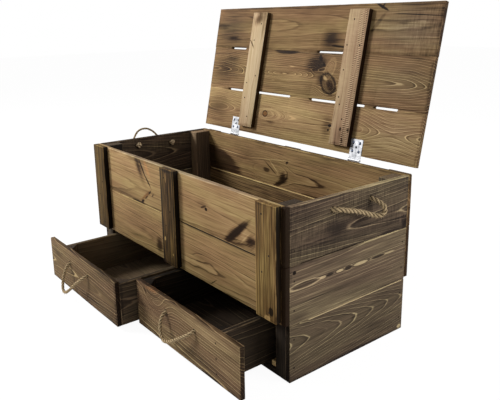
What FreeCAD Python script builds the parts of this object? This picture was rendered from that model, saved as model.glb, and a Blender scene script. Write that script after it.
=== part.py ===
import FreeCAD, Part
import math
import os

# Mule chest: a plank chest with a hinged lid over two drawers, in millimetres.
# X runs along the length, the front faces -Y, Z is up, and the origin is the
# centre of the base on the floor. Every piece stands as it rests: the lid leans
# back on its hinges and both drawers are drawn out.

Vec = FreeCAD.Vector
ALONG_X = Vec(1, 0, 0)
ALONG_Y = Vec(0, 1, 0)
ALONG_Z = Vec(0, 0, 1)

# Case
case_length = 1000.0         # over the end planks
case_inner_depth = 435.0     # between the front and back planks
case_height = 455.0          # floor to rim
plank_thickness = 14.0
plank_gap = 1.0              # between neighbouring planks
bay_height = 157.5           # floor to the underside of the front planks
front_plank_width = 150.0    # the upper front plank is ripped to reach the rim
end_seam_drops = (5.0, 1.5)  # seams of the ends below the edges of the lower front plank
arris = 1.0                  # worn long edges of every board

# Posts and battens
post_width = 38.0
post_depth = 63.0
post_drop = 3.0              # post tops below the rim
batten_width = 76.0
batten_thickness = 17.0
batten_inset = 14.0          # outer battens, in from the ends of the case
batten_lift = 6.0            # above the lower edge of the planks they cross
front_batten_proud = 3.0     # above the rim
back_batten_drop = 3.0       # below the rim
middle_batten_shift = 3.6    # off the middle, to the right

# Base, drawer guides and the floor of the bin
base_thickness = 14.0
base_gap = 1.0
base_board_count = 3
guide_side = 14.0            # square outer guides, nailed to the posts
guide_lift = 8.0             # outer guides above the base
centre_guide_width = 12.0
centre_guide_height = 14.0
bearer_width = 38.0
bearer_height = 17.0
floor_thickness = 14.0
floor_gap = 1.0
floor_board_count = 3
notch_clearance = 0.5        # floor boards around the posts

# Drawers
drawer_board = 14.0
drawer_lift = 0.3            # running clearance over the base
drawer_headroom = 4.7        # top of the front below the bay's top edge
drawer_front_gap = 0.5       # closed front to the posts
drawer_front_inset = 4.0     # outer end of the front, in from the end of the case
drawer_box_drop = 7.5        # box rim below the top of the front
drawer_centre_play = 2.0     # box to the centre guide
drawer_outer_play = 26.0     # box to the outer guide
drawer_back_play = 21.5      # closed box to the back of the bay
drawer_bottom_count = 3
drawer_bottom_gap = 1.0
corner_block_leg = 40.0
left_extension = 195.3       # how far each drawer stands out at rest
right_extension = 134.5

# Lid, and the line that it turns on
lid_open_angle = 101.85      # turned back from level
axis_behind = 1.7            # hinge line behind the back planks
axis_rise = 4.0              # hinge line above the rim
lid_face_rise = 1.7          # underside of the level lid above the hinge line
lid_edge_setback = 14.7      # rear edge of the lid in front of the hinge line
lid_front_clearance = 1.0    # closed lid to the front battens
lid_gap = 2.0
lid_rear_width = 147.0
lid_middle_width = 151.5
lid_rear_overhang = (1.0, 4.0)      # past the left and right ends of the case
lid_middle_overhang = (3.0, 5.0)
lid_front_overhang = (5.0, 6.0)
lid_batten_centres = (-235.0, 226.0)
lid_batten_front_clear = (8.0, 5.0)  # batten ends clear of the front planks
lid_batten_rear_clear = 19.0         # and of the back planks

# Butt hinges
leaf_width = 46.0
leaf_length = 62.7           # hinge line to the free edge
leaf_thickness = 1.5
barrel_radius = 3.5
knuckle_count = 5
knuckle_gap = 0.4
turning_clearance = 0.3
pin_radius = 2.0
pin_fit = 0.05               # pin in the fixed knuckles
pin_head_radius = 2.7
pin_head_height = 1.0
hinge_clear = (9.0, 0.5)     # leaf beside the lid batten, left and right
screw_rows = (25.7, 51.7)    # from the hinge line
screw_offset = 12.5          # either side of the leaf's middle
screw_head_radius = 3.8
screw_head_height = 2.0
screw_shank_radius = 1.8
screw_length = 12.0          # under the head
screw_tip = 3.0
screw_fit = 0.1
spare_hole_radius = 2.4      # empty hole in the middle of each leaf

# Rope handles. A route lists (across, out, up) from where the rope leaves its
# first hole to where it enters its second: across is X on a drawer and Y on an
# end, out is from the board's outer face, up is from the drawer's underside or
# from the rim.
right_end_rope = 12.5
left_end_rope = 7.5
drawer_rope = 9.5
rope_hole_clearance = 1.5    # around the rope in its holes
right_end_route = [(-78, 4.5, -34), (-60, 12, -36), (-38, 13, -42), (-10, 15, -49), (16, 20, -57),
                   (37, 26, -66), (54, 31, -71), (68, 37, -70), (76, 39, -58), (73, 31, -44), (64, 9, -33)]
left_end_route = [(-76, 8, -24), (-72, 32, -19), (-57, 46, -6), (-40, 50, 16), (-5, 51, 23),
                  (24, 49, 8), (40, 44, -13), (57, 30, -27), (66, 8, -32)]
right_drawer_route = [(168, 2, 100), (168, 14, 86), (169, 19, 69), (177, 25, 52), (197, 29, 35),
                      (223, 28, 42), (251, 25, 59), (280, 20, 78), (300, 16, 91), (308, 3, 100)]
left_drawer_route = [(-334, 3, 96), (-335, 16, 81), (-334, 25, 60), (-329, 33, 36), (-315, 39, 16),
                     (-290, 40, 18), (-263, 36, 37), (-237, 27, 63), (-213, 18, 82), (-200, 6, 96)]

# Faces and lines that several pieces share
half_length = case_length / 2
inner_x = half_length - plank_thickness
half_inner = case_inner_depth / 2
outer_y = half_inner + plank_thickness
post_inner_x = inner_x - post_width
post_inner_y = half_inner - post_depth
bay_back_y = half_inner - plank_thickness
bearer_top = bay_height + bearer_height
floor_top = bearer_top + floor_thickness
drawer_bottom_z = base_thickness + drawer_lift
drawer_front_top = bay_height - drawer_headroom
drawer_rim = drawer_front_top - drawer_box_drop
drawer_inner_x = centre_guide_width / 2 + drawer_centre_play
drawer_outer_x = post_inner_x - guide_side - drawer_outer_play
drawer_closed_y = -half_inner - drawer_front_gap
drawer_box_length = bay_back_y - drawer_back_play - drawer_closed_y
axis_y = outer_y + axis_behind
axis_z = case_height + axis_rise
lid_face_z = axis_z + lid_face_rise
lid_rear_y = axis_y - lid_edge_setback
lid_front_y = -outer_y + lid_front_clearance


# Boards

def spread(centre, width):
    return (centre - width / 2, centre + width / 2)


def outward(side, near, far):
    """The span from near to far on the left (side -1) or the right (side 1)."""
    return (near, far) if side > 0 else (-far, -near)


def block(xs, ys, zs):
    return Part.makeBox(xs[1] - xs[0], ys[1] - ys[0], zs[1] - zs[0], Vec(xs[0], ys[0], zs[0]))


def board(xs, ys, zs, grain):
    """A sawn board whose four long edges are worn back."""
    shape = block(xs, ys, zs)
    long_edges = [edge for edge in shape.Edges if abs(edge.tangentAt(edge.FirstParameter).dot(grain)) > 0.9]
    return shape.makeChamfer(arris, long_edges)


def row_of_spans(low, high, count, gap):
    """Equal spans that fill low to high with gaps between them."""
    width = (high - low - (count - 1) * gap) / count
    starts = [low + i * (width + gap) for i in range(count)]
    return [(start, start + width) for start in starts]


def drill(shape, point, direction, radius, depth):
    """A round hole from just in front of a point, along a direction."""
    start = point - direction
    return shape.cut(Part.makeCylinder(radius, depth + 1, start, direction))


# Case

def end_planks(side):
    xs = outward(side, inner_x, half_length)
    ys = (-half_inner, half_inner)
    first = bay_height - end_seam_drops[0]
    second = bay_height + front_plank_width - end_seam_drops[1]
    heights = {"bottom": (0, first), "middle": (first + plank_gap, second), "top": (second + plank_gap, case_height)}
    return {place: board(xs, ys, zs, ALONG_Y) for place, zs in heights.items()}


def post(side, end):
    xs = outward(side, post_inner_x, inner_x)
    ys = outward(end, post_inner_y, half_inner)
    return board(xs, ys, (0, case_height - post_drop), ALONG_Z)


def wall_planks(end):
    """The two planks of the front (end -1) or the back (end 1)."""
    xs = (-half_length, half_length)
    ys = outward(end, half_inner, outer_y)
    seam = bay_height + front_plank_width
    lower = board(xs, ys, (bay_height, seam), ALONG_X)
    upper = board(xs, ys, (seam + plank_gap, case_height), ALONG_X)
    return {"lower": lower, "upper": upper}


def wall_batten(end, centre):
    ys = outward(end, outer_y, outer_y + batten_thickness)
    top = case_height + front_batten_proud if end < 0 else case_height - back_batten_drop
    return board(spread(centre, batten_width), ys, (bay_height + batten_lift, top), ALONG_Z)


def wall_batten_centres():
    reach = half_length - batten_inset - batten_width / 2
    return {"left": -reach, "middle": middle_batten_shift, "right": reach}


def bay_back():
    return board((-post_inner_x, post_inner_x), (bay_back_y, half_inner), (base_thickness, bay_height), ALONG_X)


def base_boards():
    """Rails between the posts at the front and back, and full-length boards between them."""
    zs = (0, base_thickness)
    rails = [board((-post_inner_x, post_inner_x), outward(end, post_inner_y + base_gap, half_inner), zs, ALONG_X)
             for end in (-1, 1)]
    spans = row_of_spans(-post_inner_y, post_inner_y, base_board_count, base_gap)
    return rails + [board((-inner_x, inner_x), ys, zs, ALONG_X) for ys in spans]


def guide_strips():
    ys = (-half_inner, bay_back_y)
    low = base_thickness + guide_lift
    outer = [board(outward(side, post_inner_x - guide_side, post_inner_x), ys, (low, low + guide_side), ALONG_Y)
             for side in (-1, 1)]
    centre_top = base_thickness + centre_guide_height
    centre = board(spread(0, centre_guide_width), ys, (base_thickness, centre_top), ALONG_Y)
    return outer + [centre]


def bearers():
    """A cleat on each end between the posts, and one bearer across the middle."""
    zs = (bay_height, bearer_top)
    cleats = [board(outward(side, inner_x - bearer_width, inner_x), (-post_inner_y, post_inner_y), zs, ALONG_Y)
              for side in (-1, 1)]
    middle = board(spread(0, bearer_width), (-half_inner, half_inner), zs, ALONG_Y)
    return cleats + [middle]


def floor_boards():
    """Boards along the bin; the outer two are notched around the posts."""
    boards = {}
    spans = row_of_spans(-half_inner, half_inner, floor_board_count, floor_gap)
    for name, ys in zip(("front", "middle", "back"), spans):
        shape = board((-inner_x, inner_x), ys, (bearer_top, floor_top), ALONG_X)
        for side in (-1, 1):
            for end in (-1, 1):
                notch_x = outward(side, post_inner_x - notch_clearance, half_length)
                notch_y = outward(end, post_inner_y - notch_clearance, outer_y)
                shape = shape.cut(block(notch_x, notch_y, (bearer_top - 1, floor_top + 1)))
        boards[name] = shape
    return boards


# Rope handles

def rope_path(points):
    """Straight runs joined by the largest tangent arcs that they leave room for."""
    edges = []
    radii = []
    last = points[0]
    for before, corner, after in zip(points, points[1:], points[2:]):
        run_in = corner - before
        run_out = after - corner
        into = Vec(run_in).normalize()
        out = Vec(run_out).normalize()
        turn = into.getAngle(out)
        reach = 0.45 * min(run_in.Length, run_out.Length)
        radius = reach / math.tan(turn / 2)
        inward = Vec(out - into).normalize()
        centre = corner + inward * (radius / math.cos(turn / 2))
        start = corner - into * reach
        end = corner + out * reach
        edges.append(Part.LineSegment(last, start).toShape())
        edges.append(Part.Arc(start, centre - inward * radius, end).toShape())
        radii.append(radius)
        last = end
    edges.append(Part.LineSegment(last, points[-1]).toShape())
    return Part.Wire(edges), radii


def rope(name, points, diameter):
    """A plain tube along a route, with its bends and volume printed."""
    path, radii = rope_path(points)
    section = Part.Wire(Part.makeCircle(diameter / 2, points[0], points[1] - points[0]))
    tube = path.makePipeShell([section], True, False)
    expected = math.pi * diameter ** 2 / 4 * path.Length
    print(name, "length", round(path.Length, 1), "volume ratio", round(tube.Volume / expected, 4),
          "radii in diameters", [round(radius / diameter, 1) for radius in radii])
    return tube


def knot(seat, inward, diameter):
    """A stopper knot drawn up against the board, with a short tail."""
    outline = [(0, 0), (0.95, 0), (1.3, 0.5), (1.3, 1.3), (0.5, 1.9), (0.5, 2.9), (0, 2.9), (0, 0)]
    profile = Part.makePolygon([Vec(across * diameter, 0, along * diameter) for across, along in outline])
    solid = Part.Face(profile).revolve(Vec(0, 0, 0), ALONG_Z, 360)
    solid.Placement = FreeCAD.Placement(seat, FreeCAD.Rotation(ALONG_Z, inward))
    return solid


def threaded_rope(name, board_shape, route, place, outward_direction, thickness, diameter):
    """Drills a board for a rope and returns the board, the rope and its two knots."""
    inner_ends = [(route[i][0], -thickness, route[i][2]) for i in (0, -1)]
    points = [place(*point) for point in [inner_ends[0]] + route + [inner_ends[1]]]
    drilled = board_shape
    for end in (points[0], points[-1]):
        drilled = drill(drilled, end, outward_direction, diameter / 2 + rope_hole_clearance, thickness + 1)
    knots = [knot(end, -outward_direction, diameter) for end in (points[0], points[-1])]
    return drilled, rope(name, points, diameter), knots


def end_handle(side, top_plank, route, diameter):
    def place(across, out, up):
        return Vec(side * (half_length + out), across, case_height + up)
    name = "end rope " + ("left" if side < 0 else "right")
    return threaded_rope(name, top_plank, route, place, ALONG_X * side, plank_thickness, diameter)


# Drawers

def corner_block(corner_x, corner_y, toward_x, toward_y):
    low = drawer_bottom_z + drawer_board
    points = [Vec(corner_x, corner_y, low),
              Vec(corner_x + toward_x * corner_block_leg, corner_y, low),
              Vec(corner_x, corner_y + toward_y * corner_block_leg, low)]
    triangle = Part.Face(Part.makePolygon(points + points[:1]))
    return triangle.extrude(Vec(0, 0, drawer_rim - low))


def drawer(side, extension, route):
    """All the pieces of one drawer, standing out by its extension."""
    front_y = drawer_closed_y - extension
    rear_y = front_y + drawer_box_length
    inside = (drawer_inner_x + drawer_board, drawer_outer_x - drawer_board)
    inside_xs = outward(side, *inside)
    box_zs = (drawer_bottom_z, drawer_rim)
    front_xs = outward(side, drawer_inner_x, half_length - drawer_front_inset)
    front = board(front_xs, (front_y - drawer_board, front_y), (drawer_bottom_z, drawer_front_top), ALONG_X)

    def place(across, out, up):
        return Vec(across, front_y - drawer_board - out, drawer_bottom_z + up)

    name = "drawer rope " + ("left" if side < 0 else "right")
    front, handle, knots = threaded_rope(name, front, route, place, -ALONG_Y, drawer_board, drawer_rope)
    bottom_spans = row_of_spans(front_y, rear_y - drawer_board, drawer_bottom_count, drawer_bottom_gap)
    bottom_zs = (drawer_bottom_z, drawer_bottom_z + drawer_board)
    corners = [(x, y, toward_x, toward_y)
               for x, toward_x in ((inside_xs[0], 1), (inside_xs[1], -1))
               for y, toward_y in ((front_y, 1), (rear_y - drawer_board, -1))]
    return {
        "front": front,
        "side_inner": board(outward(side, drawer_inner_x, inside[0]), (front_y, rear_y), box_zs, ALONG_Y),
        "side_outer": board(outward(side, inside[1], drawer_outer_x), (front_y, rear_y), box_zs, ALONG_Y),
        "back": board(inside_xs, (rear_y - drawer_board, rear_y), box_zs, ALONG_X),
        "bottom": [board(inside_xs, ys, bottom_zs, ALONG_X) for ys in bottom_spans],
        "corner_blocks": [corner_block(*corner) for corner in corners],
        "rope": handle,
        "rope_knots": knots,
    }


# Hinges: each is drawn as its upper leaf lies under the level lid, reaching
# forward from the hinge line. The lower leaf is the same form turned down
# against the back of the case.

def turn_on_axis(shape, angle):
    turned = shape.copy()
    turned.rotate(Vec(0, axis_y, axis_z), ALONG_X, angle)
    return turned


def hinge_centres():
    reach = batten_width / 2 + leaf_width / 2
    left = lid_batten_centres[0] - reach - hinge_clear[0]
    right = lid_batten_centres[1] + reach + hinge_clear[1]
    return {"left": left, "right": right}


def leaf_holes(centre):
    """Places on the leaf's underside: four screws, then the spare hole."""
    z = lid_face_z - leaf_thickness
    screws = [Vec(centre + offset, axis_y - row, z) for row in screw_rows for offset in (-screw_offset, screw_offset)]
    spare = Vec(centre, axis_y - sum(screw_rows) / 2, z)
    return screws, spare


def leaf(centre, own_first, bore_radius):
    """A leaf whose knuckles are every second one from own_first."""
    pitch = leaf_width / knuckle_count
    low_x = centre - leaf_width / 2
    zs = (lid_face_z - leaf_thickness, lid_face_z)
    shape = block((low_x, low_x + leaf_width), (axis_y - leaf_length, axis_y), zs)
    for i in range(knuckle_count):
        start = low_x + i * pitch
        if i % 2 == own_first:
            length = pitch - knuckle_gap
            foot = Vec(start + knuckle_gap / 2, axis_y, axis_z)
            shape = shape.fuse(Part.makeCylinder(barrel_radius, length, foot, ALONG_X))
        else:
            room = barrel_radius + turning_clearance
            xs = (start - knuckle_gap / 2, start + pitch + knuckle_gap / 2)
            shape = shape.cut(block(xs, (axis_y - room, axis_y + 1), (zs[0] - 1, zs[1] + 1)))
    shape = shape.cut(Part.makeCylinder(bore_radius, leaf_width + 2, Vec(low_x - 1, axis_y, axis_z), ALONG_X))
    screws, spare = leaf_holes(centre)
    for point in screws:
        shape = drill(shape, point, ALONG_Z, screw_shank_radius + screw_fit, leaf_thickness + 1)
    return drill(shape, spare, ALONG_Z, spare_hole_radius, leaf_thickness + 1).removeSplitter()


def hinge_pin(centre):
    low_x = centre - leaf_width / 2
    pin = Part.makeCylinder(pin_radius, leaf_width, Vec(low_x, axis_y, axis_z), ALONG_X)
    for x in (low_x - pin_head_height, low_x + leaf_width):
        pin = pin.fuse(Part.makeCylinder(pin_head_radius, pin_head_height, Vec(x, axis_y, axis_z), ALONG_X))
    return pin.removeSplitter()


def screw(point):
    """A dome-headed wood screw driven up from the leaf's underside."""
    dome = screw_head_height * 0.72
    profile = [Part.Arc(Vec(0, 0, -screw_head_height), Vec(screw_head_radius * 0.62, 0, -dome),
                        Vec(screw_head_radius, 0, 0)).toShape(),
               Part.makePolygon([Vec(screw_head_radius, 0, 0), Vec(screw_shank_radius, 0, 0),
                                 Vec(screw_shank_radius, 0, screw_length - screw_tip),
                                 Vec(0, 0, screw_length), Vec(0, 0, -screw_head_height)])]
    edges = [edge for piece in profile for edge in piece.Edges]
    solid = Part.Face(Part.Wire(edges)).revolve(Vec(0, 0, 0), ALONG_Z, 360)
    solid.translate(point)
    return solid


def screws_for_leaves(centres):
    return [screw(point) for centre in centres for point in leaf_holes(centre)[0]]


def drill_pilots(shape, centres, angle):
    """Pilot holes for a leaf's screws, where the leaf stands turned by angle."""
    for centre in centres:
        for point in leaf_holes(centre)[0]:
            hole = Part.makeCylinder(screw_shank_radius + screw_fit, screw_length, point, ALONG_Z)
            shape = shape.cut(turn_on_axis(hole, angle))
    return shape


# Lid, drawn level

def lid_plank(ys, overhang):
    xs = (-half_length - overhang[0], half_length + overhang[1])
    return board(xs, ys, (lid_face_z, lid_face_z + plank_thickness), ALONG_X)


def lid_planks():
    rear_front = lid_rear_y - lid_rear_width
    middle_rear = rear_front - lid_gap
    middle_front = middle_rear - lid_middle_width
    return {"rear": lid_plank((rear_front, lid_rear_y), lid_rear_overhang),
            "middle": lid_plank((middle_front, middle_rear), lid_middle_overhang),
            "front": lid_plank((lid_front_y, middle_front - lid_gap), lid_front_overhang)}


def lid_batten(centre, front_clear):
    ys = (-half_inner + front_clear, half_inner - lid_batten_rear_clear)
    return board(spread(centre, batten_width), ys, (lid_face_z - batten_thickness, lid_face_z), ALONG_Y)


# Putting it together

def case_pieces():
    pieces = {}
    rope_knots = []
    for side, side_name, route, diameter in ((-1, "left", left_end_route, left_end_rope),
                                             (1, "right", right_end_route, right_end_rope)):
        planks = end_planks(side)
        planks["top"], handle, knots = end_handle(side, planks["top"], route, diameter)
        for place, shape in planks.items():
            pieces["end_" + side_name + "_plank_" + place] = shape
        pieces["end_rope_" + side_name] = handle
        rope_knots += knots
        for end, end_name in ((-1, "front"), (1, "back")):
            pieces["post_" + end_name + "_" + side_name] = post(side, end)
    pieces["end_rope_knots"] = rope_knots
    for end, end_name in ((-1, "front"), (1, "back")):
        for place, shape in wall_planks(end).items():
            pieces[end_name + "_plank_" + place] = shape
        for place, centre in wall_batten_centres().items():
            pieces[end_name + "_batten_" + place] = wall_batten(end, centre)
    for place, shape in floor_boards().items():
        pieces["bin_floor_board_" + place] = shape
    pieces["bin_floor_bearers"] = bearers()
    pieces["base_boards"] = base_boards()
    pieces["bay_back_board"] = bay_back()
    pieces["drawer_guide_strips"] = guide_strips()
    return pieces


def hinge_pieces(pieces):
    """Adds the hinges, and drills the back plank and the rear lid plank for them."""
    centres = hinge_centres()
    lid_angle = -lid_open_angle
    lower_angle = 90
    for name, centre in centres.items():
        pieces["hinge_lower_leaf_" + name] = turn_on_axis(leaf(centre, 0, pin_radius + pin_fit), lower_angle)
        upper = leaf(centre, 1, pin_radius + turning_clearance)
        pieces["hinge_upper_leaf_" + name] = turn_on_axis(upper, lid_angle)
    pieces["hinge_pins"] = [hinge_pin(centre) for centre in centres.values()]
    screws = screws_for_leaves(centres.values())
    pieces["hinge_lower_screws"] = [turn_on_axis(solid, lower_angle) for solid in screws]
    pieces["hinge_upper_screws"] = [turn_on_axis(solid, lid_angle) for solid in screws]
    pieces["back_plank_upper"] = drill_pilots(pieces["back_plank_upper"], centres.values(), lower_angle)
    pieces["lid_plank_rear"] = drill_pilots(pieces["lid_plank_rear"], centres.values(), lid_angle)


def lid_pieces():
    level = {"lid_plank_" + place: shape for place, shape in lid_planks().items()}
    for name, centre, clear in zip(("left", "right"), lid_batten_centres, lid_batten_front_clear):
        level["lid_batten_" + name] = lid_batten(centre, clear)
    return {name: turn_on_axis(shape, -lid_open_angle) for name, shape in level.items()}


def drawer_pieces():
    pieces = {}
    for side, side_name, extension, route in ((-1, "left", left_extension, left_drawer_route),
                                              (1, "right", right_extension, right_drawer_route)):
        for name, shape in drawer(side, extension, route).items():
            pieces["drawer_" + side_name + "_" + name] = shape
    return pieces


os.makedirs("parts", exist_ok=True)
all_pieces = case_pieces()
all_pieces.update(lid_pieces())
hinge_pieces(all_pieces)
all_pieces.update(drawer_pieces())
for node, shape in all_pieces.items():
    if isinstance(shape, list):
        shape = Part.makeCompound(shape)
    shape.exportStep(os.path.join("parts", node + ".step"))
print(len(all_pieces), "nodes")
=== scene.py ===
import math
import random
from functools import partial
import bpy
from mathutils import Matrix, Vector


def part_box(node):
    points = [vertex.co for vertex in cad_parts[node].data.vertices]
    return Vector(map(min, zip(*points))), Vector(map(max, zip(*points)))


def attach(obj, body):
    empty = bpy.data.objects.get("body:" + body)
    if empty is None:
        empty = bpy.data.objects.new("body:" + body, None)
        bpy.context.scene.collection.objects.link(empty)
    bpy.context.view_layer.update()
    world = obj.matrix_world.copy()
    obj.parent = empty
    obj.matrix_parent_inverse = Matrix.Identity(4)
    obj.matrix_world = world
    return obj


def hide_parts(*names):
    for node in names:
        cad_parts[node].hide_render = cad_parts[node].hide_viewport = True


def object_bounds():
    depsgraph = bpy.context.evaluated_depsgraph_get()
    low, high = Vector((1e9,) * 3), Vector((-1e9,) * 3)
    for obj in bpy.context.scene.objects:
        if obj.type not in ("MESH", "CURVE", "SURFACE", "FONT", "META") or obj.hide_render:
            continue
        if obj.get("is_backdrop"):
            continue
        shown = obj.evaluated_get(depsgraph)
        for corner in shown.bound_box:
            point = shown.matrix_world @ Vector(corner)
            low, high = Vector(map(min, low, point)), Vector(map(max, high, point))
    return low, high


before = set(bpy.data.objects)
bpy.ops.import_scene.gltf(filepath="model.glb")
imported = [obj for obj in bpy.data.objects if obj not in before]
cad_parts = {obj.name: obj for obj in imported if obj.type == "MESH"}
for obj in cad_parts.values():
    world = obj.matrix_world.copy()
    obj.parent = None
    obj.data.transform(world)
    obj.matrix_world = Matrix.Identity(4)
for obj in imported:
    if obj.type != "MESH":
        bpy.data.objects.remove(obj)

from types import SimpleNamespace

import bpy
from mathutils import Matrix, Vector

cad_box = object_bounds()
mm = 0.001

# The camera. It stands in front of the chest's right end, a little above the
# open lid's hinges, and looks slightly down.
camera_place = Vector((1474.4, -1102.4, 872.4)) * mm
camera_turn = math.radians(51.908)
camera_dip = math.radians(14.2299)
camera_roll = math.radians(-0.9285)


def add_object(name, data):
    made = bpy.data.objects.new(name, data)
    bpy.context.scene.collection.objects.link(made)
    return made


camera_data = bpy.data.cameras.new("camera")
camera_data.sensor_width = 36
camera_data.lens = 43.42
camera_data.shift_x = 0.0049
camera_data.shift_y = -0.0555
camera_data.clip_end = 50
camera = add_object("camera", camera_data)
camera.matrix_world = (Matrix.Translation(camera_place)
                       @ Matrix.Rotation(camera_turn, 4, "Z")
                       @ Matrix.Rotation(math.pi / 2 - camera_dip, 4, "X")
                       @ Matrix.Rotation(camera_roll, 4, "Z"))
bpy.context.scene.camera = camera

# Rope handles. Each is a length of three-strand manila, led through two holes
# in its board and stopped inside with an overhand knot at each end.
rope_lay = 3.2               # length of one turn of the strands, in diameters
rope_sides = 30
strand_centre = 0.42         # strand centres off the middle, in rope radii
strand_size = 0.58           # strand radius, in rope radii
knot_size = 0.262            # of an overhand knot's loops, in diameters
knot_steps = 90
tail_steps = 11              # of the rope's end that stands out of the knot
fibre_radius = 0.32 * mm
end_right_rope = 12.5 * mm   # diameters
end_left_rope = 7.5 * mm
drawer_rope = 9.5 * mm
end_right_route = [(486, -78, 421), (504.5, -78, 421), (512, -60, 419), (513, -38, 413), (515, -10, 406),
                   (520, 16, 398), (526, 37, 389), (531, 54, 384), (537, 68, 385), (539, 76, 397),
                   (531, 73, 411), (509, 64, 422), (486, 64, 422)]
end_left_route = [(-486, -76, 431), (-508, -76, 431), (-532, -72, 436), (-546, -57, 449), (-550, -40, 471),
                  (-551, -5, 478), (-549, 24, 463), (-544, 40, 442), (-530, 57, 428), (-508, 66, 423),
                  (-486, 66, 423)]
drawer_right_route = [(168, -352.5, 114.3), (168, -368.5, 114.3), (168, -380.5, 100.3), (169, -385.5, 83.3),
                      (177, -391.5, 66.3), (197, -395.5, 49.3), (223, -394.5, 56.3), (251, -391.5, 73.3),
                      (280, -386.5, 92.3), (300, -382.5, 105.3), (308, -369.5, 114.3), (308, -352.5, 114.3)]
drawer_left_route = [(-334, -413.3, 110.3), (-334, -430.3, 110.3), (-335, -443.3, 95.3), (-334, -452.3, 74.3),
                     (-329, -460.3, 50.3), (-315, -466.3, 30.3), (-290, -467.3, 32.3), (-263, -463.3, 51.3),
                     (-237, -454.3, 77.3), (-213, -445.3, 96.3), (-200, -433.3, 110.3), (-200, -413.3, 110.3)]


def stain(red, green, blue):
    """A colour as on a stain maker's card, 0 to 255, as the shader wants it."""
    def plain(value):
        value = value / 255
        return value / 12.92 if value <= 0.04045 else ((value + 0.055) / 1.055) ** 2.4
    return (plain(red), plain(green), plain(blue), 1)


class Signal:
    """What a shader node gives out. What is reckoned with it becomes nodes too."""

    def __init__(self, nodes, socket):
        self.nodes = nodes
        self.socket = socket

    def __abs__(self):
        return self.nodes.math("ABSOLUTE", self)

    def __add__(self, other):
        return self.nodes.math("ADD", self, other)

    def __sub__(self, other):
        return self.nodes.math("SUBTRACT", self, other)

    def __rsub__(self, other):
        return self.nodes.math("SUBTRACT", other, self)

    def __mul__(self, other):
        return self.nodes.math("MULTIPLY", self, other)


class Nodes:
    """A tree of shader nodes. Each method adds one and returns its signal."""

    def __init__(self, owner):
        owner.use_nodes = True
        self.tree = owner.node_tree

    def feed(self, socket, value):
        if isinstance(value, Signal):
            self.tree.links.new(value.socket, socket)
        elif value is not None:
            socket.default_value = value

    def node(self, kind, *values, result=0, **settings):
        made = self.tree.nodes.new("ShaderNode" + kind)
        for setting, choice in settings.items():
            setattr(made, setting, choice)
        for socket, value in zip(made.inputs, values):
            self.feed(socket, value)
        return Signal(self, made.outputs[result])

    def math(self, operation, *values):
        return self.node("Math", *values, operation=operation)

    def vector(self, operation, *values):
        result = 1 if operation == "LENGTH" else 0
        return self.node("VectorMath", *values, operation=operation, result=result)

    def split(self, value, order):
        parts = self.node("SeparateXYZ", value).socket.node.outputs
        return [Signal(self, parts[letter]) for letter in order]

    def fade(self, value, start, end, at_start, at_end):
        """Passes smoothly from one number to another as value goes from start to end."""
        return self.node("MapRange", value, start, end, at_start, at_end,
                         interpolation_type="SMOOTHSTEP")

    def blend(self, share, first, second):
        """Goes from the first number to the second as share goes from 0 to 1."""
        return self.node("Mix", share, None, first, second)

    def noise(self, place, detail=2, roughness=0.5, scale=1):
        return self.node("TexNoise", place, None, scale, detail, roughness)

    def ramp(self, value, stops):
        """Colours or greys along 0 to 1."""
        made = self.node("ValToRGB", value)
        elements = made.socket.node.color_ramp.elements
        while len(elements) < len(stops):
            elements.new(1)
        for element, (position, colour) in zip(elements, stops):
            element.position = position
            element.color = colour if isinstance(colour, tuple) else (colour, colour, colour, 1)
        return made

    def tinted(self, share, colour, tint):
        """Multiplies a colour by a tint, the more so as share goes from 0 to 1."""
        for_numbers = [None] * 5
        return self.node("Mix", share, *for_numbers, colour, tint, result=2, data_type="RGBA",
                         blend_type="MULTIPLY")


class Finish(Nodes):
    """A material, with one shader for all its surface."""

    def __init__(self, name, roughness, specular=0.25):
        self.material = bpy.data.materials.new(name)
        super().__init__(self.material)
        self.shader = self.tree.nodes["Principled BSDF"]
        self.feed(self.shader.inputs["Roughness"], roughness)
        self.feed(self.shader.inputs["Specular IOR Level"], specular)

    def relief(self, height, depth):
        """Bumps as deep as depth where height goes from 0 to 1."""
        made = self.node("Bump")
        self.feed(made.socket.node.inputs["Distance"], depth)
        self.feed(made.socket.node.inputs["Height"], height)
        self.feed(self.shader.inputs["Normal"], made)

    def done(self, colour, roughness=None):
        self.feed(self.shader.inputs["Base Color"], colour)
        self.feed(self.shader.inputs["Roughness"], roughness)
        return self.material


def manila(name, deep, pale):
    """Twisted manila: pale yarns, with painted shade down in the grooves between the strands."""
    finish = Finish(name, roughness=0.9, specular=0.1)
    along = finish.node("UVMap", uv_map="lay")
    groove = finish.node("Attribute", attribute_name="groove", result=2)
    yarns = finish.noise(finish.vector("MULTIPLY", along, (90, 9, 1)), detail=3)
    patches = finish.noise(finish.vector("MULTIPLY", along, (8, 1, 1)), detail=2)
    # the grooves are darkened as painted shade
    tone = yarns * 0.9 + patches * 0.5 - groove * 0.6
    colour = finish.ramp(tone, [(0.1, deep), (0.75, pale)])
    finish.relief(yarns, 0.6 * mm)
    return finish.done(colour)


def smooth_line(route):
    """The line that a rope takes as it is led round the points of its route."""
    curve = bpy.data.curves.new("line", "CURVE")
    curve.dimensions = "3D"
    spline = curve.splines.new("NURBS")
    spline.points.add(len(route) - 1)
    for point, place in zip(spline.points, route):
        point.co = (*(Vector(place) * mm), 1)
    spline.order_u = 3
    spline.use_endpoint_u = True
    spline.resolution_u = 24
    holder = bpy.data.objects.new("line", curve)
    drawn = bpy.data.meshes.new_from_object(holder)
    places = [vertex.co.copy() for vertex in drawn.vertices]
    bpy.data.objects.remove(holder)
    bpy.data.curves.remove(curve)
    bpy.data.meshes.remove(drawn)
    return places


def strand_radius(angle):
    """How far the outside of three touching strands is from the rope's middle, in rope radii."""
    off = (angle + math.pi / 3) % (2 * math.pi / 3) - math.pi / 3
    return strand_centre * math.cos(off) + math.sqrt(strand_size ** 2 - (strand_centre * math.sin(off)) ** 2)


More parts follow.
